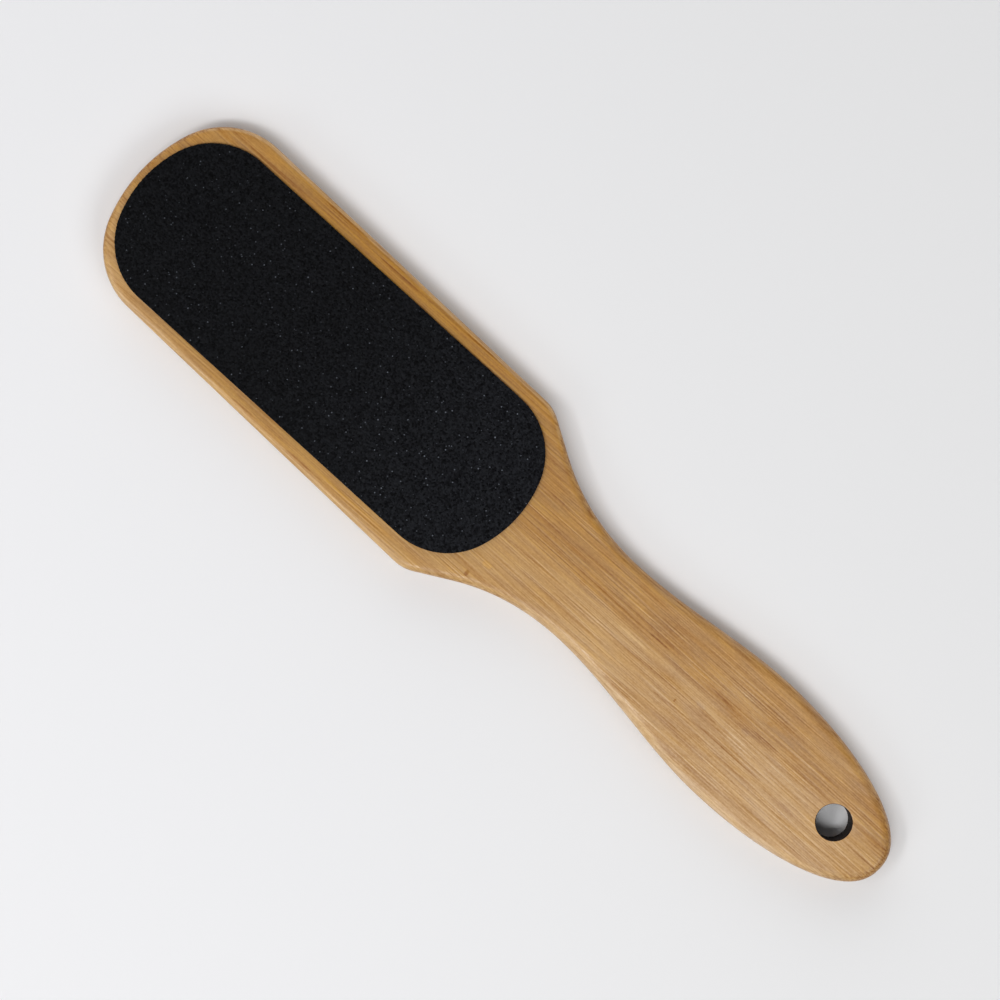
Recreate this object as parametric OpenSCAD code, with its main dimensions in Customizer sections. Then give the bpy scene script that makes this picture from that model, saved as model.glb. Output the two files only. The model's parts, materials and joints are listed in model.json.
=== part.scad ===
// Foot file: a bamboo paddle with an abrasive pad glued to each face of its head.
// The paddle is cut from one flat board, its edges rounded over, and a hanging hole is drilled near the tail.
// X runs along the paddle towards the handle's tail, Z up out of the coarse face.
// The origin is under the middle of the whole file, level with the face of the lower pad.

/* [Head] */
// Length of the head, from its tip to where the shoulders begin
head_len = 113.8; // [95:0.1:130]
// Width across the head where the shoulders begin
head_w = 55.6; // [50:0.1:64]
// How much narrower the head is at the other end of its straight sides
head_taper = 0.6; // [0:0.1:3]
// Radius of the arc across the end of the head
crown_r = 42.5; // [34:0.5:60]
// Radius of the two corners beside that arc
corner_r = 20; // [10:0.1:23]
// Radius of each shoulder
shoulder_r = 10.5; // [4:0.1:14]
// Angle at which the shoulders slope in towards the handle
shoulder_angle = 30; // [20:1:35]

/* [Handle] */
// Run of the straight slope after each shoulder
slope_run = 8.5; // [5:0.1:10]
// Distance from the end of the slope to the neck
neck_run = 31; // [24:0.1:40]
// Width of the neck, where the handle is narrowest
neck_w = 27.2; // [22:0.1:30]
// Distance from the neck to the widest place of the grip
grip_run = 50.2; // [40:0.1:62]
// Width of the grip at its widest
grip_w = 36.5; // [32:0.1:42]
// Distance from the widest place of the grip to the tail
tail_run = 47.2; // [38:0.1:56]
// Fullness of the tail: 2 is half an ellipse, and more is squarer
tail_fullness = 2.3; // [1.8:0.1:3]

/* [Board] */
// Thickness of the bamboo board
board_t = 8; // [6.5:0.1:12]
// Radius of the rounded edges along the head
head_edge_r = 1.8; // [0.6:0.1:2.5]
// Radius of the rounded edges along the handle
handle_edge_r = 2.5; // [1.5:0.1:3]

/* [Hanging hole] */
// Diameter of the hole
hole_d = 9.3; // [5:0.1:12]
// Distance from the middle of the hole to the tail
hole_to_tail = 16.8; // [12:0.1:22]
// How far the middle of the hole lies off the centre line, towards +Y
hole_aside = 0.5; // [-2:0.1:2]

/* [Pads] */
// Flat bamboo left bare between the rounded edge and a pad, at the tip of the head
tip_flat = 0.4; // [0.1:0.1:3]
// Flat bamboo left bare between the rounded edge and a pad, along each side of the head
side_flat = 2.75; // [1:0.05:6]
// How far each pad runs on past the start of the shoulders
pad_overrun = 15; // [0:0.1:20]
// Radius of the arc across each end of a pad
pad_crown_r = 31.6; // [30:0.1:50]
// Radius of the corners beside those arcs
pad_corner_r = 18.5; // [8:0.1:20]
// Thickness of the sheet that carries the grit
backing_t = 0.4; // [0.2:0.05:1]
// Depth of the coarse grit on the upper face
front_grit_t = 0.5; // [0.3:0.05:0.9]
// Depth of the fine grit on the lower face
rear_grit_t = 0.3; // [0.1:0.05:0.6]
// Thickness of the adhesive under each pad
glue_t = 0.15; // [0.05:0.05:0.4]
// How far the adhesive stops short of the pad's edge
glue_inset = 0.4; // [0:0.1:1.5]
// How far the upper pad is glued askew, in degrees
front_skew = 1.1; // [-1.5:0.1:1.5]

/* [Hidden] */

bamboo_colour = [0.74, 0.58, 0.38];
glue_colour = [0.36, 0.28, 0.19];
backing_colour = [0.20, 0.13, 0.10];
coarse_colour = [0.09, 0.09, 0.10];
fine_colour = [0.17, 0.17, 0.18];

// Steps along each stretch of the outline, and round a quarter of its edge
crown_steps = 4;
corner_steps = 12;
side_steps = 6;
shoulder_steps = 5;
slope_steps = 2;
neck_steps = 9;
grip_steps = 12;
tail_steps = 20;
edge_steps = 5;
hole_faces = 64;
cut_overrun = 1;

// Where each stretch ends, measured from the tip of the head
slope_from = head_len + shoulder_r * sin(shoulder_angle);
slope_to = slope_from + slope_run;
neck_at = slope_to + neck_run;
grip_at = neck_at + grip_run;
paddle_len = grip_at + tail_run;

// Width across the head beside its rounded end
head_end_w = head_w - head_taper;

// Half widths at the two ends of the slope
slope_from_h = head_w / 2 - shoulder_r * (1 - cos(shoulder_angle));
slope_to_h = slope_from_h - slope_run * tan(shoulder_angle);

// Heights of the board and of the layers on its two faces
rear_pad_t = rear_grit_t + backing_t + glue_t;
board_bottom = rear_pad_t;
board_top = board_bottom + board_t;

// Size and place of the pads, which lie on the flat between the rounded edges
pad_w = head_end_w - 2 * (head_edge_r + side_flat);
pad_from = head_edge_r + tip_flat;
pad_len = head_len + pad_overrun - pad_from;
pad_x = pad_from + pad_len / 2 - paddle_len / 2;

// Rises from 0 to 1 as t goes from 0 to 1, level at both ends
function ease(t) = let (u = max(0, min(1, t))) u * u * (3 - 2 * u);

function reversed(list) = [for (i = [len(list) - 1 : -1 : 0]) list[i]];

// A rounded end, from its tip at [0, 0] to its straight side: the crown's arc, and the corner's arc that runs
// out of it. The corner is no rounder than the end is wide, and the turn is where on the crown it begins.
function rounded_end(crown, corner, half_w) =
    let (
        r = min(corner, half_w),
        turn = asin((half_w - r) / (crown - r)),
        corner_x = crown - (crown - r) * cos(turn)
    )
    concat(
        [for (i = [0 : crown_steps - 1])
            let (a = turn * i / crown_steps)
            [crown * (1 - cos(a)), crown * sin(a)]],
        [for (i = [0 : corner_steps])
            let (a = turn + (90 - turn) * i / corner_steps)
            [corner_x - r * cos(a), half_w - r * (1 - sin(a))]]
    );

head_end = rounded_end(crown_r, corner_r, head_end_w / 2);
side_from = head_end[len(head_end) - 1][0];

// Half width of the neck's curve a share u of the way along it: a cubic that leaves the slope in line with it
// and comes level at the neck
function neck_half(u) =
    let (run_drop = neck_run * tan(shoulder_angle))
    slope_to_h * (1 - ease(u)) - run_drop * u * (1 - u) * (1 - u) + neck_w / 2 * ease(u);

// Half of the outline, from the tip of the head to the tail, as [distance from the tip, half width]
half_outline = concat(
    head_end,
    [for (i = [1 : side_steps - 1])
        let (u = i / side_steps)
        [side_from + (head_len - side_from) * u, (head_end_w + head_taper * u) / 2]],
    [for (i = [0 : shoulder_steps])
        let (a = shoulder_angle * i / shoulder_steps)
        [head_len + shoulder_r * sin(a), head_w / 2 - shoulder_r * (1 - cos(a))]],
    [for (i = [1 : slope_steps])
        let (u = i / slope_steps)
        [slope_from + slope_run * u, slope_from_h + (slope_to_h - slope_from_h) * u]],
    [for (i = [1 : neck_steps])
        let (u = i / neck_steps)
        [slope_to + neck_run * u, neck_half(u)]],
    [for (i = [1 : grip_steps])
        let (u = i / grip_steps)
        [neck_at + grip_run * u, neck_w / 2 + (grip_w - neck_w) / 2 * ease(u)]],
    [for (i = [1 : tail_steps])
        let (a = 90 * i / tail_steps)
        [grip_at + tail_run * sin(a), grip_w / 2 * pow(max(0, cos(a)), 2 / tail_fullness)]]
);

// The whole outline, from the tip of the head along one side to the tail and back along the other
half_count = len(half_outline);
loop_count = 2 * (half_count - 1);
outline = concat(
    half_outline,
    [for (i = [half_count - 2 : -1 : 1]) [half_outline[i][0], -half_outline[i][1]]]
);

// Outward direction at a point of the outline, from its two neighbours
function outward(i) =
    let (
        before = outline[(i + loop_count - 1) % loop_count],
        after = outline[(i + 1) % loop_count],
        along = (after - before) / norm(after - before)
    )
    [-along[1], along[0]];

normals = [for (i = [0 : loop_count - 1]) outward(i)];

// Radius of the rounded edges at a distance x from the tip of the head
function edge_r(x) =
    head_edge_r + (handle_edge_r - head_edge_r) * ease((x - head_len) / (neck_at - head_len));

// Section of the rounded edge, from the upper flat to the lower one: [share of the radius that the ring lies
// inwards, share of the radius that it lies from the face, and 1 for the upper face or -1 for the lower]
upper_shares = [for (i = [0 : edge_steps])
    let (a = 90 * i / edge_steps)
    [1 - sin(a), 1 - cos(a), 1]];
section_shares = concat(
    upper_shares,
    [for (s = reversed(upper_shares)) [s[0], s[1], -1]]
);
ring_count = len(section_shares);

function ring(shares) = [for (i = [0 : loop_count - 1])
    let (
        p = outline[i],
        r = edge_r(p[0]),
        q = p - normals[i] * r * shares[0]
    )
    [q[0] - paddle_len / 2, q[1], (board_t / 2 - r * shares[1]) * shares[2]]];

// Index of the point straight across the outline from point i
function across(i) = (loop_count - i) % loop_count;

// The board with its rounded edges: rings of the outline, closed above and below by strips that run from side
// to side
module board() {
    tail = half_count - 1;
    last_ring = (ring_count - 1) * loop_count;
    sides = [for (k = [0 : ring_count - 2], i = [0 : loop_count - 1])
        let (
            a = k * loop_count + i,
            b = k * loop_count + (i + 1) % loop_count
        )
        each [[a, a + loop_count, b + loop_count], [a, b + loop_count, b]]];
    upper_face = concat(
        [[0, 1, across(1)]],
        [for (i = [1 : tail - 2])
            each [[i, i + 1, across(i + 1)], [i, across(i + 1), across(i)]]],
        [[tail - 1, tail, across(tail - 1)]]
    );
    lower_face = [for (f = upper_face) [for (i = reversed(f)) i + last_ring]];
    polyhedron(
        points = [for (shares = section_shares) each ring(shares)],
        faces = concat(sides, upper_face, lower_face),
        convexity = 4
    );
}

module paddle() {
    color(bamboo_colour)
    difference() {
        translate([0, 0, board_bottom + board_t / 2])
        board();
        translate([paddle_len / 2 - hole_to_tail, hole_aside, board_bottom - cut_overrun])
        cylinder(h = board_t + 2 * cut_overrun, d = hole_d, $fn = hole_faces);
    }
}

// Outline of a pad about its own middle, drawn in by an inset
module pad_outline(inset) {
    end = rounded_end(pad_crown_r - inset, pad_corner_r - inset, pad_w / 2 - inset);
    near = [for (p = end) [p[0] - pad_len / 2 + inset, p[1]]];
    far = [for (p = reversed(end)) [pad_len / 2 - inset - p[0], p[1]]];
    upper = concat(near, far);
    polygon(concat(upper, [for (i = [len(upper) - 2 : -1 : 1]) [upper[i][0], -upper[i][1]]]));
}

// One layer of a pad, from the height low to the height high
module layer(low, high, skew, inset) {
    translate([pad_x, 0, low])
    rotate([0, 0, skew])
    linear_extrude(height = high - low)
    pad_outline(inset);
}

module front_adhesive() {
    color(glue_colour)
    layer(board_top, board_top + glue_t, front_skew, glue_inset);
}

module front_backing() {
    color(backing_colour)
    layer(board_top + glue_t, board_top + glue_t + backing_t, front_skew, 0);
}

module front_grit() {
    from = board_top + glue_t + backing_t;
    color(coarse_colour)
    layer(from, from + front_grit_t, front_skew, 0);
}

module rear_adhesive() {
    color(glue_colour)
    layer(board_bottom - glue_t, board_bottom, 0, glue_inset);
}

module rear_backing() {
    color(backing_colour)
    layer(rear_grit_t, rear_grit_t + backing_t, 0, 0);
}

module rear_grit() {
    color(fine_colour)
    layer(0, rear_grit_t, 0, 0);
}

paddle();
front_adhesive();
front_backing();
front_grit();
rear_adhesive();
rear_backing();
rear_grit();
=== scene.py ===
import json
import math

import bmesh
import bpy
import numpy as np
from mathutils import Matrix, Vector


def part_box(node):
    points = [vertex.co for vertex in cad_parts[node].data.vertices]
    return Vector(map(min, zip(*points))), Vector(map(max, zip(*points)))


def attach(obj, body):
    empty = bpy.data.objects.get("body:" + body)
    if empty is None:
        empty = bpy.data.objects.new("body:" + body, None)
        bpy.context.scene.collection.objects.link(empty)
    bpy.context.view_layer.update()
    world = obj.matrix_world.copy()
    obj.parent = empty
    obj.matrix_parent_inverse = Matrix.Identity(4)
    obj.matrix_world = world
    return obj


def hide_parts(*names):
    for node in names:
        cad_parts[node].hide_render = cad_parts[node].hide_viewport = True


# Foot file: a bamboo paddle with an abrasive pad on each face of its head

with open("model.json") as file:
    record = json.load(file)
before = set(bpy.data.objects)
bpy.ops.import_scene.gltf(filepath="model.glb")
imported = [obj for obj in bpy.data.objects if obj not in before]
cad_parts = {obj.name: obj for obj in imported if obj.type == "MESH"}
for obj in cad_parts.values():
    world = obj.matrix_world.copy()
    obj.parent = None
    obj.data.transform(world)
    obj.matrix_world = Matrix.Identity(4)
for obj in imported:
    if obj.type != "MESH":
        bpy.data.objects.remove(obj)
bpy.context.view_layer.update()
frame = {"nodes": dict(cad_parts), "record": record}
mm = 0.001              # shapes below are worked out in millimetres and stored in metres
weldGap = 2e-6          # metres: points nearer than this are one
curveSteps = 400        # points along each arc or curve before an outline is spaced out evenly
print("frame loaded with", len(frame["nodes"]), "CAD nodes")


# Reading sizes from the frame

def boxMm(node):
    # Lowest and highest corner of a CAD node, in millimetres
    low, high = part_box(node)
    return np.array(low) / mm, np.array(high) / mm


def mountNamed(name):
    return next(mount for mount in frame["record"]["mounts"] if mount["name"] == name)


# Curves and grids

def ease(share):
    # Rises from 0 to 1 as the share does, level at both ends
    share = np.clip(share, 0, 1)
    return share * share * (3 - 2 * share)


def roundedEnd(crown, corner, halfWidth):
    # Half of a rounded end, from its tip to its straight side: an arc of the crown radius about the centre
    # line, run into an arc of the corner radius where their tangents agree
    corner = min(corner, halfWidth)
    turn = math.asin((halfWidth - corner) / (crown - corner))
    cornerX = crown - (crown - corner) * math.cos(turn)
    onCrown = np.linspace(0, turn, curveSteps, endpoint=False)
    onCorner = np.linspace(turn, math.pi / 2, curveSteps)
    x = np.concatenate((crown * (1 - np.cos(onCrown)), cornerX - corner * np.cos(onCorner)))
    y = np.concatenate((crown * np.sin(onCrown), halfWidth - corner * (1 - np.sin(onCorner))))
    return x, y


def evenly(x, y, gap):
    # The same curve with its points an even distance apart along it
    along = np.concatenate(([0], np.cumsum(np.hypot(np.diff(x), np.diff(y)))))
    places = np.linspace(0, along[-1], int(round(along[-1] / gap)) + 1)
    return np.interp(places, along, x), np.interp(places, along, y)


def mirrored(x, y):
    # A closed outline from its upper half: out along +Y and back along -Y
    return np.concatenate((x, x[-2:0:-1])), np.concatenate((y, -y[-2:0:-1]))


def outwards(x, y):
    # Unit direction out of a closed outline at each point, square to the line between its neighbours
    alongX = np.roll(x, -1) - np.roll(x, 1)
    alongY = np.roll(y, -1) - np.roll(y, 1)
    size = np.hypot(alongX, alongY)
    return -alongY / size, alongX / size


def gridQuads(rows, columns, closed, start):
    # Corners of the quads between neighbouring rows and columns of points, where closed joins the last row
    # to the first one
    row = np.arange(rows if closed else rows - 1)[:, None]
    column = np.arange(columns - 1)[None, :]
    here = start + row * columns + column
    beyond = start + (row + 1) % rows * columns + column
    return np.stack((here, here + 1, beyond + 1, beyond), axis=-1).reshape(-1, 4)


def makePiece(name, grids, materials, smooth=True):
    # One closed mesh from grids of points (points, closed, material number): points that share a place are
    # welded and the faces turned outwards
    vertices, quads, slots, start = [], [], [], 0
    for points, closed, slotNumber in grids:
        faces = gridQuads(points.shape[0], points.shape[1], closed, start)
        vertices.append(points.reshape(-1, 3) * mm)
        quads.append(faces)
        slots.append(np.full(len(faces), slotNumber))
        start += points.shape[0] * points.shape[1]
    mesh = bpy.data.meshes.new(name)
    mesh.from_pydata(np.concatenate(vertices), [], np.concatenate(quads))
    mesh.polygons.foreach_set("material_index", np.concatenate(slots))
    shape = bmesh.new()
    shape.from_mesh(mesh)
    bmesh.ops.remove_doubles(shape, verts=shape.verts, dist=weldGap)
    bmesh.ops.recalc_face_normals(shape, faces=shape.faces)
    shape.to_mesh(mesh)
    shape.free()
    if smooth:
        mesh.shade_smooth()
    else:
        mesh.shade_flat()
    for material in materials:
        mesh.materials.append(material)
    piece = bpy.data.objects.new(name, mesh)
    bpy.context.scene.collection.objects.link(piece)
    print(f"{name}: {len(mesh.vertices)} points, {len(mesh.polygons)} faces")
    return piece


# Shader building

def shade(red, green, blue):
    # Linear colour of a display colour given from 0 to 255
    display = np.array((red, green, blue)) / 255
    linear = np.where(display <= 0.04045, display / 12.92, ((display + 0.055) / 1.055) ** 2.4)
    return (*linear.tolist(), 1.0)


def plug(tree, value, socket):
    # Links another node's output to a socket, or sets the socket to a plain value
    if isinstance(value, bpy.types.NodeSocket):
        tree.links.new(value, socket)
    else:
        socket.default_value = value


def addNode(tree, kind, inputs=None, **settings):
    made = tree.nodes.new(kind)
    for setting, value in settings.items():
        setattr(made, setting, value)
    for label, value in (inputs or {}).items():
        plug(tree, value, made.inputs[label])
    return made


def calc(tree, operation, first, second=0.0, third=0.0):
    made = addNode(tree, "ShaderNodeMath", operation=operation)
    for socket, value in zip(made.inputs, (first, second, third)):
        plug(tree, value, socket)
    return made.outputs[0]


def vectorCalc(tree, operation, *vectors):
    made = addNode(tree, "ShaderNodeVectorMath", dict(enumerate(vectors)), operation=operation)
    return made.outputs["Value" if operation == "DOT_PRODUCT" else "Vector"]


def split(tree, vector):
    return addNode(tree, "ShaderNodeSeparateXYZ", {0: vector}).outputs


def brightened(tree, colour, amount):
    made = addNode(tree, "ShaderNodeVectorMath", {0: colour, "Scale": amount}, operation="SCALE")
    return made.outputs["Vector"]


def remap(tree, value, low, high, newLow=0.0, newHigh=1.0, smooth=True):
    made = addNode(tree, "ShaderNodeMapRange", interpolation_type="SMOOTHSTEP" if smooth else "LINEAR")
    for label, given in zip(("Value", "From Min", "From Max", "To Min", "To Max"),
                            (value, low, high, newLow, newHigh)):
        plug(tree, given, made.inputs[label])
    return made.outputs[0]


def mixColours(tree, factor, first, second):
    made = addNode(tree, "ShaderNodeMix", data_type="RGBA")
    for number, value in ((0, factor), (6, first), (7, second)):
        plug(tree, value, made.inputs[number])
    return made.outputs[2]


def overStretch(tree, value, stretch, newLow=0.0, newHigh=1.0, smooth=True):
    # Remaps a place over a stretch that is given in millimetres
    return remap(tree, value, stretch[0] * mm, stretch[1] * mm, newLow, newHigh, smooth)


def inUnits(tree, place, sizes):
    # A place counted in units of a pattern, whose sizes along X, Y and Z are in millimetres
    return vectorCalc(tree, "DIVIDE", place, tuple(size * mm for size in sizes))


def noiseAt(tree, place, detail):
    # Noise about nought, within about one half each way
    made = addNode(tree, "ShaderNodeTexNoise", {
        "Vector": place, "Scale": 1.0, "Detail": detail, "Roughness": 0.5})
    return calc(tree, "SUBTRACT", made.outputs["Fac"], 0.5)


def cellsAt(tree, place):
    # Voronoi cells one unit apart: the distance from the nearest cell's middle, and its own colour
    return addNode(tree, "ShaderNodeTexVoronoi", {"Vector": place, "Scale": 1.0, "Randomness": 1.0}).outputs


def newGroup(name, inputs, outputs):
    # A shader node group: inputs are (name, kind, value), outputs are (name, kind)
    group = bpy.data.node_groups.new(name, "ShaderNodeTree")
    for label, kind, value in inputs:
        socket = group.interface.new_socket(label, in_out="INPUT", socket_type="NodeSocket" + kind)
        if value is not None:
            socket.default_value = value
    for label, kind in outputs:
        group.interface.new_socket(label, in_out="OUTPUT", socket_type="NodeSocket" + kind)
    return group, group.nodes.new("NodeGroupInput").outputs, group.nodes.new("NodeGroupOutput").inputs


def newMaterial(name, roughness, specular):
    # The material, its tree, its Principled shader and the outputs of its Texture Coordinate node
    material = bpy.data.materials.new(name)
    material.use_nodes = True
    tree = material.node_tree
    shader = tree.nodes["Principled BSDF"]
    shader.inputs["Roughness"].default_value = roughness
    shader.inputs["Specular IOR Level"].default_value = specular
    return material, tree, shader, tree.nodes.new("ShaderNodeTexCoord").outputs


def addBump(tree, shader, height, depth):
    # Relief on the surface, with its depth in millimetres
    made = addNode(tree, "ShaderNodeBump", {"Height": height, "Distance": depth * mm, "Strength": 1.0})
    tree.links.new(made.outputs["Normal"], shader.inputs["Normal"])


# Bamboo: fibres that run the length of the board, a little askew of it

bambooLook = {
    # Streaks: width across the fibres and length along them in millimetres, then the amount
    "octaves": ((0.36, 16.0, 1.00), (0.75, 20.0, 0.46), (0.34, 0.6, 0.42), (0.42, 1.8, 0.26),
                (0.80, 4.5, 0.18), (1.35, 9.0, 0.13), (2.70, 10.0, 0.12), (5.60, 14.0, 0.20)),
    "reliefOctaves": 2,                         # how many of them, from the first, are also relief
    "broadFrom": 1.0,                           # those wider than this also change the hue,
    "broadHue": -1.4,                           # by this much
    "hueOctaves": ((11, 1.2, 7.0), (12, 2.6, 9.0)),     # number of the noise, width and length
    "lineOctave": (13, 0.5, 28.0),
    "darkLines": (0.15, 0.27, -0.17),           # stretch of that noise where they come in, and their tone
    "paleLines": (-0.17, -0.29, 0.12),
    "octaveShift": (3.7, 1.9, 5.3),             # how far apart in the noise one number and the next are taken
    "bundleSize": (40.0, 0.7, 0.7),
    "bundleEdge": (0.42, 0.12),                 # distances from a cell's middle, outside and inside it
    "bundleDepth": -0.10,
    "askew": 1.75,                              # degrees that the fibres run off the board's length
    "farGold": shade(168, 118, 44),             # strip on the +Y side, towards the head
    "farPink": shade(178, 132, 75),             # and towards the tail
    "nearGoldAndSheen": shade(179, 131, 60),            # strip on the -Y side: its own lighter tone plus painted sheen
    "nearPinkAndSheen": shade(191, 149, 97),
    "stripEdge": (-2.6, 1.2),                   # the two strips run into each other between these
    "goldTo": (-40.0, 90.0),                    # stretch of the board over which gold turns to pink
    "goldCurve": 0.75,                          # power that it follows
    "paleTip": (-80.0, -115.0, 0.5),            # pinker again at the tip: from, to and how far
    "goldTail": (112.0, 127.0, -0.6),           # back to gold at the tail
    "toneDepth": (0.80, 0.92),                  # of the streaks, in the strip on the -Y side and in the other
    "toneTint": (0.68, 1.0, 1.55),              # share of a streak's depth in red, green and blue
    "hueDepth": (0.24, 0.36),
    "hueTint": (0.38, 0.20, -1.0),
    "tailEnd": (0.0, 0.45),                     # normal X over which a surface comes to lie across the fibres
    "tipEnd": (-0.1, -0.8),
    "endDepth": 1.6,                            # how much stronger the streaks are there
    "endGrainShare": (0.35, 0.33),              # of the colour below: what bundles add, and the rest
    "endGrainColour": shade(140, 90, 27),
    "flatTo": (0.999, 0.93),                    # size of normal Z where a face passes into its round-over
    "uprightTo": (0.0, 0.3),                    # and where that passes into the upright side
    "uprightShare": 0.35,                       # how much of the rim's painted highlight, shade and sheen is left on the upright side
    "sidePower": 3.0,                           # how soon a rim loses its painted highlight, shade and sheen as it turns lengthwise
    "headToHandle": (-10.0, 10.0),              # stretch over which a rim changes from head to handle
    "nearRimPaintedLight": (0.30, 0.37),               # painted highlight: how much paler the -Y rim is, on the head and on the handle
    # painted highlight on the +Y rim of the head, painted shade on the +Y rim of the handle
    "farRimPaintedLight": (0.20, -0.08),
    "rimSheenColour": shade(225, 205, 180),          # painted sheen: a pale colour on the rounded rims
    # share of painted sheen on the -Y rim
    "nearRimSheenShare": 0.11,
    "farRimSheenShare": (0.13, 0.05),                # share of painted sheen on the +Y rim, on the head and on the handle
    "markedFace": (4.0, 6.0),                   # heights over which the marks come in
    "roughness": 0.38,
    "roughByTone": -0.3,                        # change of roughness with tone
    "specular": 0.5,
    "reliefDepth": 0.05,
}

# Marks on the upper face, in millimetres along and across the fibres: middle, half length, half width,
# slant, tone and hue
bambooMarks = (
    (52.5, -4.55, 13.0, 0.36, 0.013, -0.34, 0.0),       # dark lines
    (64.5, -7.85, 10.0, 0.36, 0.066, -0.32, 0.0),
    (69.7, -4.13, 3.6, 0.32, 0.0, -0.36, -0.04),
    (48.0, 1.98, 3.6, 0.32, 0.015, -0.34, -0.02),
    (69.5, 1.85, 4.0, 0.32, -0.03, -0.34, -0.02),
    (84.7, 0.81, 5.0, 0.40, 0.0, -0.34, 0.0),
    (45.5, 5.26, 6.5, 0.60, 0.0, -0.14, 0.02),
    (42.5, -1.70, 5.0, 0.50, 0.0, 0.30, -0.10),         # pale flecks
    (79.5, -3.30, 3.4, 0.55, 0.0, 0.16, -0.05),
    (60.9, -6.55, 0.30, 0.62, 0.0, -0.45, 0.05),        # tick across the fibres
    (68.4, 5.70, 1.0, 0.75, 0.0, -0.12, 0.13),          # reddish spots
    (82.9, 4.87, 1.0, 0.70, 0.0, -0.10, 0.13),
    (61.0, 3.24, 3.6, 0.40, 0.0, -0.06, 0.15),
    (27.2, 0.50, 9.0, 0.60, 0.0, -0.08, 0.12),
    (24.0, 0.20, 1.1, 0.80, 0.0, -0.14, 0.16),
    (3.1, -12.5, 1.5, 1.00, 0.0, 0.02, 0.28),
    (-80.6, 28.93, 8.0, 0.42, -0.005, -0.48, 0.05),     # dark lines on the rims of the head
    (-61.2, 27.28, 8.0, 0.42, 0.0, -0.42, 0.05),
    (-101.2, 26.50, 11.0, 0.42, 0.0, -0.34, 0.05),
    (-34.2, 27.56, 6.0, 0.42, 0.0, -0.34, 0.05),
    (-68.8, -23.81, 4.5, 0.38, 0.0, -0.28, 0.07),
    (-49.8, -24.39, 4.5, 0.38, 0.0, -0.34, 0.08),
    (-28.7, -23.63, 11.0, 0.90, 0.0, -0.06, 0.22),
    (66.7, -3.20, 1.6, 0.90, 0.0, 0.04, -0.12),         # greyish and pinkish patches
    (79.4, -0.80, 1.4, 0.80, 0.0, -0.03, -0.12),
    (0.6, -17.4, 0.60, 1.00, 0.0, -0.60, 0.10),         # knot at the shoulder
)


def fibreGroup():
    # The place is turned by Askew about Z. Tone = sum of amount * noise(place / (length, width, width))
    # over the octaves, with thin dark and pale lines where one more noise is far above and far below
    # nought. Hue = the two hue octaves + broadHue * the wide octaves. Bundles are long cells of a Voronoi
    # pattern: streaks on a face along them and dots on one across. Height = reliefOctaves + bundleDepth *
    # Bundles. Along X and Along Y are the turned place
    look = bambooLook
    group, given, result = newGroup(
        "bambooFibres", [("Vector", "Vector", None), ("Askew", "Float", 0.0)],
        [(label, "Float") for label in ("Tone", "Hue", "Height", "Bundles", "Along X", "Along Y")])
    turned = addNode(group, "ShaderNodeVectorRotate", {"Vector": given["Vector"], "Angle": given["Askew"]},
                     rotation_type="Z_AXIS").outputs[0]

    def octave(number, width, length):
        stretch = (1 / (length * mm), 1 / (width * mm), 1 / (width * mm))
        shift = tuple(step * number for step in look["octaveShift"])
        return noiseAt(group, vectorCalc(group, "MULTIPLY_ADD", turned, stretch, shift), detail=0.0)

    tone, fine, broad = 0.0, 0.0, 0.0
    for number, (width, length, amount) in enumerate(look["octaves"]):
        layer = octave(number, width, length)
        tone = calc(group, "MULTIPLY_ADD", layer, amount, tone)
        if number < look["reliefOctaves"]:
            fine = calc(group, "MULTIPLY_ADD", layer, amount, fine)
        if width > look["broadFrom"]:
            broad = calc(group, "MULTIPLY_ADD", layer, amount, broad)
    hue = calc(group, "ADD", *[octave(*row) for row in look["hueOctaves"]])
    hue = calc(group, "MULTIPLY_ADD", broad, look["broadHue"], hue)
    lines = octave(*look["lineOctave"])
    for low, high, amount in (look["darkLines"], look["paleLines"]):
        tone = calc(group, "MULTIPLY_ADD", remap(group, lines, low, high), amount, tone)
    cells = cellsAt(group, inUnits(group, turned, look["bundleSize"]))
    bundles = remap(group, cells["Distance"], *look["bundleEdge"])
    height = calc(group, "MULTIPLY_ADD", bundles, look["bundleDepth"], fine)
    along = split(group, turned)
    for label, value in (("Tone", tone), ("Hue", hue), ("Height", height), ("Bundles", bundles),
                         ("Along X", along["X"]), ("Along Y", along["Y"])):
        group.links.new(value, result[label])
    return group


def markGroup():
    # A soft oblong mark. Mask = 1 - (away X / half length) ^ 4 - (away Y / half width) ^ 2, smoothed and
    # not below nought, where away Y is counted from a middle line that rises by Slant along X
    group, given, result = newGroup(
        "grainMark", [(label, "Float", None) for label in ("X", "Y", "Middle X", "Middle Y", "Half Length",
                                                           "Half Width", "Slant")], [("Mask", "Float")])
    awayX = calc(group, "SUBTRACT", given["X"], given["Middle X"])
    slid = calc(group, "MULTIPLY_ADD", awayX, calc(group, "MULTIPLY", given["Slant"], -1.0), given["Y"])
    awayY = calc(group, "SUBTRACT", slid, given["Middle Y"])

    def farness(away, half, power):
        return calc(group, "POWER", calc(group, "ABSOLUTE", calc(group, "DIVIDE", away, half)), power)

    lengthwise = farness(awayX, given["Half Length"], 4.0)
    crosswise = farness(awayY, given["Half Width"], 2.0)
    group.links.new(remap(group, calc(group, "ADD", lengthwise, crosswise), 1.0, 0.0), result["Mask"])
    return group


bambooFibres = fibreGroup()
grainMark = markGroup()


def fibresOn(tree, place):
    # The outputs of the fibre group, placed in a material
    askew = -math.radians(bambooLook["askew"])
    return addNode(tree, "ShaderNodeGroup", {"Vector": place, "Askew": askew}, node_tree=bambooFibres).outputs


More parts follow.
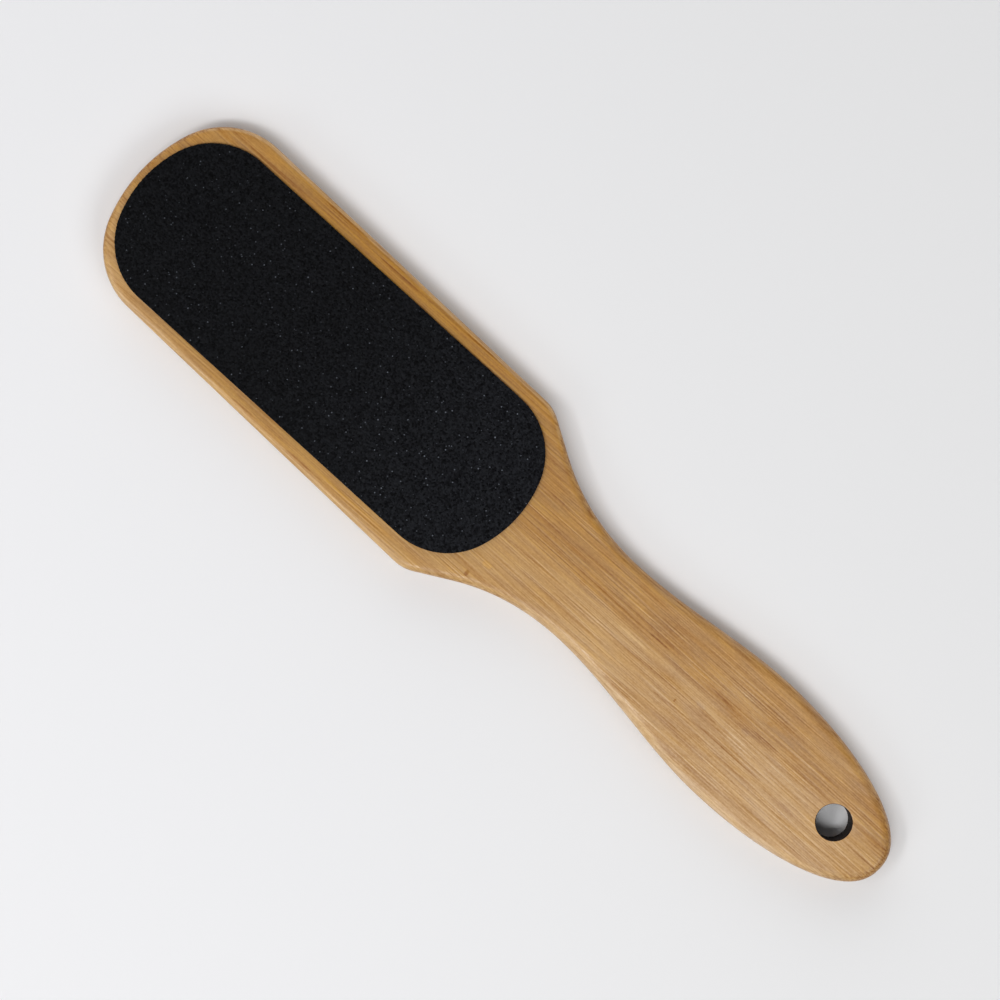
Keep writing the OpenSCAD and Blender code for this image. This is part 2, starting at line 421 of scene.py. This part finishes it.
def stripColour(tree, alongX, farSide):
    # Each of the two strips turns from its gold to its pink along the board. The tip is turned part of the
    # way to pink as well, and the tail part of the way back
    look = bambooLook
    toPink = overStretch(tree, alongX, look["goldTo"], smooth=False)
    toPink = calc(tree, "POWER", toPink, look["goldCurve"])
    for start, end, share in (look["paleTip"], look["goldTail"]):
        toPink = calc(tree, "MULTIPLY_ADD", overStretch(tree, alongX, (start, end)), share, toPink)
    # the -Y strip's colours carry painted sheen as well as their own tone
    near = mixColours(tree, toPink, look["nearGoldAndSheen"], look["nearPinkAndSheen"])
    far = mixColours(tree, toPink, look["farGold"], look["farPink"])
    return mixColours(tree, farSide, near, far)


def rimMasks(tree, normal, alongX):
    # End on: 1 where the surface lies across the fibres. Sideways: rounded * (size of outward Y) ^
    # sidePower, where rounded is 1 on a round-over and outward Y = normal Y / square root of (nearlyOne -
    # normal Z squared). Sideways places painted light on the rims: the lift of tone (painted highlight, and
    # painted shade where it is below nought) and the share of painted rim sheen run from the -Y side's amount
    # to the +Y side's as outward Y goes from -1 to 1
    look = bambooLook
    facing = split(tree, normal)
    endOn = calc(tree, "MAXIMUM", remap(tree, facing["X"], *look["tailEnd"]),
                 remap(tree, facing["X"], *look["tipEnd"]))
    level = calc(tree, "ABSOLUTE", facing["Z"])
    rounded = calc(tree, "MULTIPLY", remap(tree, level, *look["flatTo"]),
                   remap(tree, level, *look["uprightTo"], look["uprightShare"], 1.0))
    nearlyOne = 1.0001      # keeps the lean of a level face above nought
    lean = calc(tree, "SQRT", calc(tree, "SUBTRACT", nearlyOne, calc(tree, "MULTIPLY", level, level)))
    outwardY = calc(tree, "DIVIDE", facing["Y"], lean)
    nearLift, farLift, farRim = [overStretch(tree, alongX, look["headToHandle"], *look[label])
                                 for label in ("nearRimPaintedLight", "farRimPaintedLight", "farRimSheenShare")]
    rimPaintedLight = remap(tree, outwardY, -1.0, 1.0, nearLift, farLift, smooth=False)
    rimSheenShare = remap(tree, outwardY, -1.0, 1.0, look["nearRimSheenShare"], farRim, smooth=False)
    turned = calc(tree, "POWER", calc(tree, "ABSOLUTE", outwardY), look["sidePower"])
    return endOn, calc(tree, "MULTIPLY", rounded, turned), rimPaintedLight, rimSheenShare


def addMarks(tree, grain, place, tone, hue):
    # Each mark adds its own amounts to tone and hue where it lies on the upper face
    upper = overStretch(tree, split(tree, place)["Z"], bambooLook["markedFace"])
    for middleX, middleY, halfLength, halfWidth, slant, toneStep, hueStep in bambooMarks:
        mark = addNode(tree, "ShaderNodeGroup", {
            "X": grain["Along X"], "Y": grain["Along Y"], "Middle X": middleX * mm, "Middle Y": middleY * mm,
            "Half Length": halfLength * mm, "Half Width": halfWidth * mm, "Slant": slant,
        }, node_tree=grainMark)
        shown = calc(tree, "MULTIPLY", mark.outputs["Mask"], upper)
        tone = calc(tree, "MULTIPLY_ADD", shown, toneStep, tone)
        hue = calc(tree, "MULTIPLY_ADD", shown, hueStep, hue)
    return tone, hue


def bambooMaterial():
    # Colour = strip colour, mixed with end grain and painted rim sheen, * (1 + tone * toneTint + hue *
    # hueTint), where tone also carries the painted highlight and shade of the rims
    look = bambooLook
    material, tree, shader, coordinates = newMaterial("sandedBamboo", look["roughness"], look["specular"])
    grain = fibresOn(tree, coordinates["Object"])
    farSide = overStretch(tree, grain["Along Y"], look["stripEdge"])
    colour = stripColour(tree, grain["Along X"], farSide)
    endOn, sideways, rimPaintedLight, rimSheenShare = rimMasks(tree, coordinates["Normal"], grain["Along X"])

    toneDepth = remap(tree, farSide, 0.0, 1.0, *look["toneDepth"], smooth=False)
    hueDepth = remap(tree, farSide, 0.0, 1.0, *look["hueDepth"], smooth=False)
    contrast = calc(tree, "MULTIPLY_ADD", endOn, look["endDepth"] - 1, 1.0)
    tone = calc(tree, "MULTIPLY", calc(tree, "MULTIPLY", grain["Tone"], toneDepth), contrast)
    # painted highlight and shade on the rounded rims, lighter towards the -Y side
    tone = calc(tree, "MULTIPLY_ADD", sideways, rimPaintedLight, tone)
    hue = calc(tree, "MULTIPLY", grain["Hue"], hueDepth)
    tone, hue = addMarks(tree, grain, coordinates["Object"], tone, hue)

    endShare = calc(tree, "MULTIPLY_ADD", grain["Bundles"], *look["endGrainShare"])
    colour = mixColours(tree, calc(tree, "MULTIPLY", endOn, endShare), colour, look["endGrainColour"])
    # painted sheen on the rounded rims
    colour = mixColours(tree, calc(tree, "MULTIPLY", sideways, rimSheenShare), colour, look["rimSheenColour"])
    tint = vectorCalc(tree, "MULTIPLY_ADD", tone, look["toneTint"], (1.0, 1.0, 1.0))
    tint = vectorCalc(tree, "MULTIPLY_ADD", hue, look["hueTint"], tint)
    tree.links.new(vectorCalc(tree, "MULTIPLY", colour, tint), shader.inputs["Base Color"])
    rough = calc(tree, "MULTIPLY_ADD", grain["Tone"], look["roughByTone"], look["roughness"])
    tree.links.new(rough, shader.inputs["Roughness"])
    addBump(tree, shader, grain["Height"], look["reliefDepth"])
    return material


boreLook = {
    "boreDarkest": shade(18, 12, 9),
    "boreLessDark": shade(56, 36, 26),
    "lessDarkFrom": (-0.2, 0.3),     # tone of the fibres over which one passes into the other
    "roughness": 0.7,
    "specular": 0.2,
    "reliefDepth": 0.1,
}


def boreMaterial():
    # The wall of the hole is dark brown to nearly black, with the fibres still showing
    look = boreLook
    material, tree, shader, coordinates = newMaterial("drilledBamboo", look["roughness"], look["specular"])
    grain = fibresOn(tree, coordinates["Object"])
    brown = remap(tree, grain["Tone"], *look["lessDarkFrom"])
    colour = mixColours(tree, brown, look["boreDarkest"], look["boreLessDark"])
    tree.links.new(colour, shader.inputs["Base Color"])
    addBump(tree, shader, grain["Height"], look["reliefDepth"])
    return material


# Abrasive: crystals of grit in black resin

gritLook = {
    "crystalEdge": (0.55, 0.2),     # distances from a cell's middle, outside its crystal and inside it
    "glintPower": 2.0,            # how few of the picked crystals get a bright painted glint
    # Grain and relief in millimetres. Worn is the stretch of the board over which the grit turns paler
    "coarse": {"grain": 0.46, "share": 0.04, "dark": shade(0, 0, 1), "pale": shade(20, 21, 24),
               "glint": shade(86, 90, 97), "worn": (-75.0, -5.0), "wornGain": 0.9, "relief": 0.12,
               "roughness": 0.55, "specular": 0.06},
    "fine": {"grain": 0.26, "share": 0.08, "dark": shade(20, 20, 22), "pale": shade(36, 36, 39),
             "glint": shade(110, 114, 120), "worn": (-75.0, -5.0), "wornGain": 0.0, "relief": 0.05,
             "roughness": 0.6, "specular": 0.12},
}


def gritGroup():
    # Each cell of a Voronoi pattern is a crystal with its own shade and height. Painted Glint = picked ^
    # glintPower in its middle, where picked rises from 0 to 1 over the given share of the crystals: a painted
    # highlight in place of light glinting off a crystal's face
    group, given, result = newGroup(
        "gritCrystals",
        [("Vector", "Vector", None), ("Grain Size", "Float", None), ("Sparkle Share", "Float", None)],
        [("Shade", "Float"), ("Height", "Float"), ("Painted Glint", "Float")])
    sizes = addNode(group, "ShaderNodeCombineXYZ", {axis: given["Grain Size"] for axis in range(3)})
    cells = cellsAt(group, vectorCalc(group, "DIVIDE", given["Vector"], sizes.outputs[0]))
    chance = addNode(group, "ShaderNodeSeparateColor", {0: cells["Color"]}).outputs
    middle = remap(group, cells["Distance"], *gritLook["crystalEdge"])
    needed = calc(group, "SUBTRACT", 1.0, given["Sparkle Share"])
    picked = remap(group, chance[0], needed, 1.0, smooth=False)
    lit = calc(group, "MULTIPLY", calc(group, "POWER", picked, gritLook["glintPower"]), middle)
    group.links.new(chance[1], result["Shade"])
    group.links.new(calc(group, "MULTIPLY", middle, chance[2]), result["Height"])
    group.links.new(lit, result["Painted Glint"])
    return group


gritCrystals = gritGroup()


def gritMaterial(name, look):
    material, tree, shader, coordinates = newMaterial(name, look["roughness"], look["specular"])
    place = coordinates["Object"]
    grains = addNode(tree, "ShaderNodeGroup", {
        "Vector": place, "Grain Size": look["grain"] * mm, "Sparkle Share": look["share"],
    }, node_tree=gritCrystals).outputs
    colour = mixColours(tree, grains["Shade"], look["dark"], look["pale"])
    # painted glints: bright colour on a few crystals in place of light glinting off their faces
    colour = mixColours(tree, grains["Painted Glint"], colour, look["glint"])
    worn = overStretch(tree, split(tree, place)["X"], look["worn"], 1.0, 1.0 + look["wornGain"])
    tree.links.new(brightened(tree, colour, worn), shader.inputs["Base Color"])
    addBump(tree, shader, grains["Height"], look["relief"])
    return material


# Backing and adhesive: pressed sheets seen at their cut edges

sheetLook = {
    "flatness": 0.25,           # thickness of the laid fibres as a share of their size
    "detail": 4.0,
    "paleFrom": (-0.25, 0.25),  # noise over which dark passes into pale
    "relief": 0.05,
    "backingPaper": {"dark": shade(24, 16, 13), "pale": shade(62, 42, 34), "roughness": 0.8, "specular": 0.15,
                     "size": 0.5},
    "adhesiveFilm": {"dark": shade(46, 32, 22), "pale": shade(88, 66, 46), "roughness": 0.35, "specular": 0.4,
                     "size": 1.2},
}


def sheetMaterial(name):
    # Short fibres laid flat: pale where the noise is high, in a pattern that is thin upwards
    look = sheetLook[name]
    material, tree, shader, coordinates = newMaterial(name, look["roughness"], look["specular"])
    sizes = (look["size"], look["size"], look["size"] * sheetLook["flatness"])
    fibre = noiseAt(tree, inUnits(tree, coordinates["Object"], sizes), sheetLook["detail"])
    colour = mixColours(tree, remap(tree, fibre, *sheetLook["paleFrom"]), look["dark"], look["pale"])
    tree.links.new(colour, shader.inputs["Base Color"])
    addBump(tree, shader, fibre, sheetLook["relief"])
    return material


sandedBamboo = bambooMaterial()
drilledBamboo = boreMaterial()
coarseGrit = gritMaterial("coarseBlackGrit", gritLook["coarse"])
fineGrit = gritMaterial("fineBlackGrit", gritLook["fine"])
backingPaper = sheetMaterial("backingPaper")
adhesiveFilm = sheetMaterial("adhesiveFilm")
print("materials made")


# The bamboo paddle

paddleShape = {             # millimetres along the board, from the tip of the head
    "headLength": 113.8,
    "headTaper": 0.6,       # how much narrower the head is at its rounded end
    "crownRadius": 42.5,
    "cornerRadius": 20.0,
    "shoulderRadius": 10.5,
    "shoulderAngle": 30.0,  # degrees
    "slopeRun": 8.5,
    "neckRun": 31.0,
    "neckWidth": 27.2,
    "gripRun": 50.2,
    "gripWidth": 36.5,
    "tailFullness": 2.3,
    "headEdge": 1.8,
    "handleEdge": 2.5,
    "headFullness": 2.6,    # of the round-over: 2 is a quarter of a circle
    "handleFullness": 2.0,
    "holeRim": 0.12,        # broken edge round the hole
    "pointGap": 0.9,
    "faceSteps": 22,
    "edgeSteps": 10,
    "sideSteps": 4,
    "rimSteps": 5,
    "wallSteps": 9,
    "holeSpread": 150.0,    # degrees of the outline, seen from the hole, whose lines end on the hole
}


def paddleHalf(shape, length, headWidth):
    # Half width of the board against the distance from the tip: rounded head, straight side, shoulder arc,
    # slope, a cubic into the neck, an ease out to the grip and a superellipse tail
    turn = math.radians(shape["shoulderAngle"])
    radius = shape["shoulderRadius"]
    slopeFrom = shape["headLength"] + radius * math.sin(turn)
    slopeTo = slopeFrom + shape["slopeRun"]
    neckAt = slopeTo + shape["neckRun"]
    gripAt = neckAt + shape["gripRun"]
    slopeFromHalf = headWidth / 2 - radius * (1 - math.cos(turn))
    slopeToHalf = slopeFromHalf - shape["slopeRun"] * math.tan(turn)
    endHalf = (headWidth - shape["headTaper"]) / 2
    endX, endY = roundedEnd(shape["crownRadius"], shape["cornerRadius"], endHalf)
    u = np.linspace(0, 1, curveSteps, endpoint=False)
    angle = u * turn
    quarter = np.linspace(0, math.pi / 2, 4 * curveSteps)
    neckHalf = (slopeToHalf * (1 - ease(u)) - shape["neckRun"] * math.tan(turn) * u * (1 - u) ** 2
                + shape["neckWidth"] / 2 * ease(u))
    gripHalf = shape["neckWidth"] / 2 + (shape["gripWidth"] - shape["neckWidth"]) / 2 * ease(u)
    x = np.concatenate((endX[:-1], endX[-1] + (shape["headLength"] - endX[-1]) * u,
                        shape["headLength"] + radius * np.sin(angle), slopeFrom + shape["slopeRun"] * u,
                        slopeTo + shape["neckRun"] * u, neckAt + shape["gripRun"] * u,
                        gripAt + (length - gripAt) * np.sin(quarter)))
    y = np.concatenate((endY[:-1], endHalf + shape["headTaper"] / 2 * u,
                        headWidth / 2 - radius * (1 - np.cos(angle)),
                        slopeFromHalf + (slopeToHalf - slopeFromHalf) * u, neckHalf, gripHalf,
                        shape["gripWidth"] / 2 * np.abs(np.cos(quarter)) ** (2 / shape["tailFullness"])))
    y[-1] = 0
    return x, y, neckAt


def paddleGrids(shape):
    # Each row is one line round the section: from the middle of the upper face out to the edge, round it,
    # down the side, and back under. The middle is a slit along the centre line that opens round the hole.
    # The round-over is a superellipse: in from the edge by radius * (1 - sin(turn) ^ (2 / fullness)) and
    # down from the face by radius * (1 - cos(turn) ^ (2 / fullness)). The hole is a cylinder with a quarter
    # circle at each rim
    low, high = boxMm("paddle")
    bore = mountNamed("hanging_hole")
    holeX, holeY = bore["pos_m"][0] / mm, bore["pos_m"][1] / mm
    holeRadius = bore["dims"]["r_mm"]
    halfX, halfY, neckAt = paddleHalf(shape, high[0] - low[0], high[1] - low[1])
    x, y = mirrored(*evenly(halfX, halfY, shape["pointGap"]))
    outX, outY = outwards(x, y)
    toHandle = ease((x - shape["headLength"]) / (neckAt - shape["headLength"]))
    radius = shape["headEdge"] + (shape["handleEdge"] - shape["headEdge"]) * toHandle
    fullness = shape["headFullness"] + (shape["handleFullness"] - shape["headFullness"]) * toHandle
    x = x + low[0]
    tail = len(x) // 2

    rimRadius = holeRadius + shape["holeRim"]
    flatX, flatY = x - outX * radius, y - outY * radius
    seen = np.arctan2(np.abs(flatY), flatX - holeX)
    seen[tail] = 0
    firstRound = int(np.argmax(seen[:tail] <= math.radians(shape["holeSpread"])))
    slitFrom = x[0] + (high[1] - low[1]) / 2
    share = (x - x[0]) / (x[firstRound] - x[0])
    onSlit = (x <= x[firstRound])
    angle = seen / seen[firstRound] * math.pi * np.where(np.arange(len(x)) <= tail, 1, -1)
    slitX = slitFrom + share * (holeX - rimRadius - slitFrom)
    innerX = np.where(onSlit, slitX, holeX + rimRadius * np.cos(angle))
    innerY = holeY * np.clip(share, 0, 1) + np.where(onSlit, 0, rimRadius * np.sin(angle))

    across = np.linspace(0, 1, shape["faceSteps"])[:, None]
    turn = np.linspace(0, math.pi / 2, shape["edgeSteps"])[1:, None]
    down = np.linspace(0, 1, shape["sideSteps"] + 1)[1:-1, None]
    faceX = innerX + (flatX - innerX) * across
    faceY = innerY + (flatY - innerY) * across
    edgeIn = radius * (1 - np.sin(turn) ** (2 / fullness))
    edgeDown = radius * (1 - np.abs(np.cos(turn)) ** (2 / fullness))
    edgeX, edgeY = x - outX * edgeIn, y - outY * edgeIn
    sectionX = np.concatenate((faceX, edgeX, x + 0 * down, edgeX[::-1], faceX[::-1]))
    sectionY = np.concatenate((faceY, edgeY, y + 0 * down, edgeY[::-1], faceY[::-1]))
    upper = np.concatenate((high[2] + 0 * faceX, high[2] - edgeDown))
    lower = np.concatenate(((low[2] + edgeDown)[::-1], low[2] + 0 * faceX))
    side = high[2] - radius + (low[2] - high[2] + 2 * radius) * down
    board = np.stack((sectionX, sectionY, np.concatenate((upper, side, lower))), axis=-1).transpose(1, 0, 2)

    rim = np.linspace(0, math.pi / 2, shape["rimSteps"])[:, None]
    wall = np.linspace(0, 1, shape["wallSteps"])[1:-1, None]
    around = angle[firstRound:len(x) - firstRound + 1]
    rimOut = holeRadius + shape["holeRim"] * (1 - np.sin(rim)) + 0 * around
    rimDown = shape["holeRim"] * (1 - np.cos(rim)) + 0 * around
    wallOut = holeRadius + 0 * wall + 0 * around
    depth = high[2] - low[2] - 2 * shape["holeRim"]
    wallZ = high[2] - shape["holeRim"] - depth * wall + 0 * around
    boreOut = np.concatenate((rimOut, wallOut, rimOut[::-1]))
    boreZ = np.concatenate((high[2] - rimDown, wallZ, (low[2] + rimDown)[::-1]))
    hole = np.stack((holeX + boreOut * np.cos(around), holeY + boreOut * np.sin(around), boreZ), axis=-1)
    return board, hole.transpose(1, 0, 2)


board, bore = paddleGrids(paddleShape)
paddle = makePiece("bamboo_paddle", [(board, True, 0), (bore, False, 1)], [sandedBamboo, drilledBamboo])
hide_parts("paddle")
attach(paddle, "root")


# The pads: adhesive, backing sheet and grit, cut to one outline

padShape = {
    "crownRadius": 31.6,
    "cornerRadius": 18.5,
    "frontSkew": 1.1,       # degrees that the upper pad lies askew
    "glueInset": 0.4,
    "sheetGap": 0.8,        # between points of the plain layers
    "backSteps": 4,
    # Beds of grit: space between points, size of a crystal, depth of the bed and of the bites at its edge
    "coarseBed": {"gap": 0.275, "grain": 0.55, "relief": 0.26, "ragged": 0.16, "seed": 11},
    "fineBed": {"gap": 0.42, "grain": 0.45, "relief": 0.08, "ragged": 0.16, "seed": 12},
    "peak": (0.45, 0.55),   # least height of a crystal, as a share of the depth, and how much more it can be
    "slope": (0.7, 0.9),    # the same of how steep it is
    "lean": 0.8,            # how much its top can tilt
}


def crystals(x, y, size, seed):
    # Height from 0 to 1 of a bed of crystals: the highest, at each place, of the pyramids that stand on the
    # nine nearest points of a jittered lattice, each peak - slope * (away X + away Y) / 2 + lean * away X
    random = np.random.default_rng(seed)
    cellX, cellY = np.floor(x / size).astype(int), np.floor(y / size).astype(int)
    cellX, cellY = cellX - cellX.min() + 1, cellY - cellY.min() + 1
    table = random.random((cellX.max() + 2, cellY.max() + 2, 5))
    startX, startY = np.floor(x / size).min() - 1, np.floor(y / size).min() - 1
    leastPeak, morePeak = padShape["peak"]
    leastSlope, moreSlope = padShape["slope"]
    height = np.zeros_like(x)
    for stepX in (-1, 0, 1):
        for stepY in (-1, 0, 1):
            own = table[cellX + stepX, cellY + stepY]
            awayX = x / size - (startX + cellX + stepX + own[..., 0])
            awayY = y / size - (startY + cellY + stepY + own[..., 1])
            slope = leastSlope + moreSlope * own[..., 2]
            lean = (own[..., 4] - 0.5) * padShape["lean"]
            peak = leastPeak + morePeak * own[..., 3]
            height = np.maximum(height, peak - slope * (np.abs(awayX) + np.abs(awayY)) / 2 + lean * awayX)
    return np.clip(height, 0, 1)


def padOutline(inset, gap):
    # Outline of a pad about its own middle: a straight run with a rounded end on each side. Its size is the
    # rear backing's, which lies straight
    low, high = boxMm("rear_backing")
    length, width = high[0] - low[0] - 2 * inset, high[1] - low[1] - 2 * inset
    endX, endY = roundedEnd(padShape["crownRadius"] - inset, padShape["cornerRadius"] - inset, width / 2)
    halfX = np.concatenate((endX - length / 2, length / 2 - endX[::-1]))
    halfY = np.concatenate((endY, endY[::-1]))
    x, y = mirrored(*evenly(halfX, halfY, gap))
    return x, y, (length - width) / 2


def padGrid(node, skew, up, inset=0.0, gap=padShape["sheetGap"], grain=0.0, relief=0.0, ragged=0.0, seed=1):
    # A layer of a pad: lines run from a slit along its middle out over the exposed face, down the cut edge
    # and back under. The exposed face is sunk by relief * (1 - the height of the bed of crystals), and the
    # cut edge is drawn in here and there by ragged * the square of a random share
    low, high = boxMm(node)
    cadLow, cadHigh = boxMm("rear_backing")
    x, y, reach = padOutline(inset, gap)
    outX, outY = outwards(x, y)
    random = np.random.default_rng(seed)
    bite = random.random(len(x)) ** 2 * ragged
    x, y = x - outX * bite, y - outY * bite
    slitX = np.clip(x, -reach, reach)
    steps = int(round((cadHigh[1] - cadLow[1]) / 2 / gap)) + 1
    across = np.linspace(0, 1, steps)[:, None]
    back = np.linspace(1, 0, padShape["backSteps"])[:, None]
    faceX, faceY = slitX + (x - slitX) * across, y * across
    backX, backY = slitX + (x - slitX) * back, y * back
    face = (high[2] if up > 0 else low[2]) + 0 * faceX
    if relief:
        face = face - up * (1 - crystals(faceX, faceY, grain, seed)) * relief
    under = (low[2] if up > 0 else high[2]) + 0 * backX
    flatX, flatY = np.concatenate((faceX, backX)), np.concatenate((faceY, backY))
    angle = math.radians(skew)
    middle = (cadLow[0] + cadHigh[0]) / 2
    turnedX = middle + flatX * math.cos(angle) - flatY * math.sin(angle)
    turnedY = flatX * math.sin(angle) + flatY * math.cos(angle)
    return np.stack((turnedX, turnedY, np.concatenate((face, under))), axis=-1).transpose(1, 0, 2)


def padLayer(name, node, slot, material, smooth=True, **shape):
    piece = makePiece(name, [(padGrid(node, **shape), True, 0)], [material], smooth)
    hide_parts(node)
    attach(piece, "root")


front = {"skew": padShape["frontSkew"], "up": 1}
rear = {"skew": 0.0, "up": -1}
inset = padShape["glueInset"]
padLayer("coarse_grit", "front_grit", "coarse_grit", coarseGrit, smooth=False, **front,
         **padShape["coarseBed"])
padLayer("coarse_backing", "front_backing", "backing", backingPaper, **front)
padLayer("coarse_adhesive", "front_adhesive", "adhesive", adhesiveFilm, inset=inset, **front)
padLayer("fine_grit", "rear_grit", "fine_grit", fineGrit, smooth=False, **rear, **padShape["fineBed"])
padLayer("fine_backing", "rear_backing", "backing", backingPaper, **rear)
padLayer("fine_adhesive", "rear_adhesive", "adhesive", adhesiveFilm, inset=inset, **rear)
print("pads made")


# Floor, light and camera

stage = {
    "floorSize": 6.0,
    "floorLeft": shade(239, 239, 241),      # towards the left and the right of the picture
    "floorRight": shade(239, 239, 240),
    "floorBlend": 0.13,                     # metres each way over which one turns into the other
    "cloudSize": 400.0,                     # millimetres
    "cloudDepth": 0.01,
    "roughness": 0.9,
    "specular": 0.0,
}

room = {
    "colour": (1.0, 1.0, 1.0, 1.0),
    "everywhere": 0.073,
    # Bright sides: azimuth and angle from the vertical in degrees, strength, and power of the cosine
    "sides": ((143.0, 80.0, 2.0, 5.0), (258.0, 55.0, 3.8, 60.0)),
}

softboxes = {               # metres towards the right and the bottom of the picture, and above the floor
    "leftSoftbox": {"right": -0.493, "down": 0.106, "height": 0.83, "size": (0.167, 0.49), "power": 2.13},
    "lowSoftbox": {"right": -0.287, "down": 0.614, "height": 1.87, "size": (1.0, 0.32), "power": 13.6},
    "nearSoftbox": {"right": 4.5, "down": 5.5, "height": 6.0, "size": (5.12, 7.07), "power": 352.0},
}

photoView = {
    "over": (-5.36, 1.67),          # millimetres: the point straight under the camera
    "height": 620.0,
    "turn": 43.43,                  # degrees
    "seenAcross": 251.72,           # millimetres across the picture, at the height of the next row
    "widestHeight": 7.2,
    "sensor": 36.0,
    "clip": (0.01, 50.0),           # metres
}


def makeFloor():
    # Colour = floorLeft passing into floorRight across the picture, * (1 + cloudDepth * noise)
    material, tree, shader, coordinates = newMaterial("paleFloor", stage["roughness"], stage["specular"])
    place = coordinates["Object"]
    turn = math.radians(photoView["turn"])
    toRight = vectorCalc(tree, "DOT_PRODUCT", place, (math.cos(turn), math.sin(turn), 0.0))
    side = remap(tree, toRight, -stage["floorBlend"], stage["floorBlend"])
    colour = mixColours(tree, side, stage["floorLeft"], stage["floorRight"])
    cloud = noiseAt(tree, inUnits(tree, place, [stage["cloudSize"]] * 3), detail=1.0)
    bright = calc(tree, "MULTIPLY_ADD", cloud, stage["cloudDepth"], 1.0)
    tree.links.new(brightened(tree, colour, bright), shader.inputs["Base Color"])
    half = stage["floorSize"] / 2
    mesh = bpy.data.meshes.new("floor")
    corners = [(-half, -half, 0), (half, -half, 0), (half, half, 0), (-half, half, 0)]
    mesh.from_pydata(corners, [], [(0, 1, 2, 3)])
    mesh.materials.append(material)
    floor = bpy.data.objects.new("floor", mesh)
    bpy.context.scene.collection.objects.link(floor)


def makeRoom():
    # Strength = everywhere + sum over the sides of strength * max(0, cos(angle off the side)) ^ power
    world = bpy.data.worlds.new("paleRoom")
    bpy.context.scene.world = world
    world.use_nodes = True
    tree = world.node_tree
    background = tree.nodes["Background"]
    background.inputs["Color"].default_value = room["colour"]
    looked = tree.nodes.new("ShaderNodeTexCoord").outputs["Generated"]
    total = room["everywhere"]
    for azimuth, fromVertical, strength, power in room["sides"]:
        heading, tilt = math.radians(azimuth), math.radians(fromVertical)
        toward = (math.sin(tilt) * math.cos(heading), math.sin(tilt) * math.sin(heading), math.cos(tilt))
        near = calc(tree, "MAXIMUM", vectorCalc(tree, "DOT_PRODUCT", looked, toward), 0.0)
        lobe = calc(tree, "POWER", near, power)
        total = calc(tree, "MULTIPLY_ADD", lobe, strength, total)
    tree.links.new(total, background.inputs["Strength"])


def makeSoftbox(name, right, down, height, size, power):
    # A lamp that lies level over the floor and squarely to the picture
    turn = math.radians(photoView["turn"])
    light = bpy.data.lights.new(name, "AREA")
    light.shape = "RECTANGLE"
    light.size, light.size_y = size
    light.energy = power
    lamp = bpy.data.objects.new(name, light)
    bpy.context.scene.collection.objects.link(lamp)
    x = right * math.cos(turn) + down * math.sin(turn)
    y = right * math.sin(turn) - down * math.cos(turn)
    lamp.location = (x, y, height)
    lamp.rotation_euler = (0, 0, turn)


def makeCamera():
    camera = bpy.data.cameras.new("photoCamera")
    camera.sensor_width = photoView["sensor"]
    distance = photoView["height"] - photoView["widestHeight"]
    camera.lens = photoView["sensor"] * distance / photoView["seenAcross"]
    camera.clip_start, camera.clip_end = photoView["clip"]
    holder = bpy.data.objects.new("photoCamera", camera)
    bpy.context.scene.collection.objects.link(holder)
    holder.location = (photoView["over"][0] * mm, photoView["over"][1] * mm, photoView["height"] * mm)
    holder.rotation_euler = (0, 0, math.radians(photoView["turn"]))
    bpy.context.scene.camera = holder


makeFloor()
makeRoom()
for name, softbox in softboxes.items():
    makeSoftbox(name, **softbox)
makeCamera()
bpy.context.scene.view_settings.view_transform = "Standard"
print("stage set")
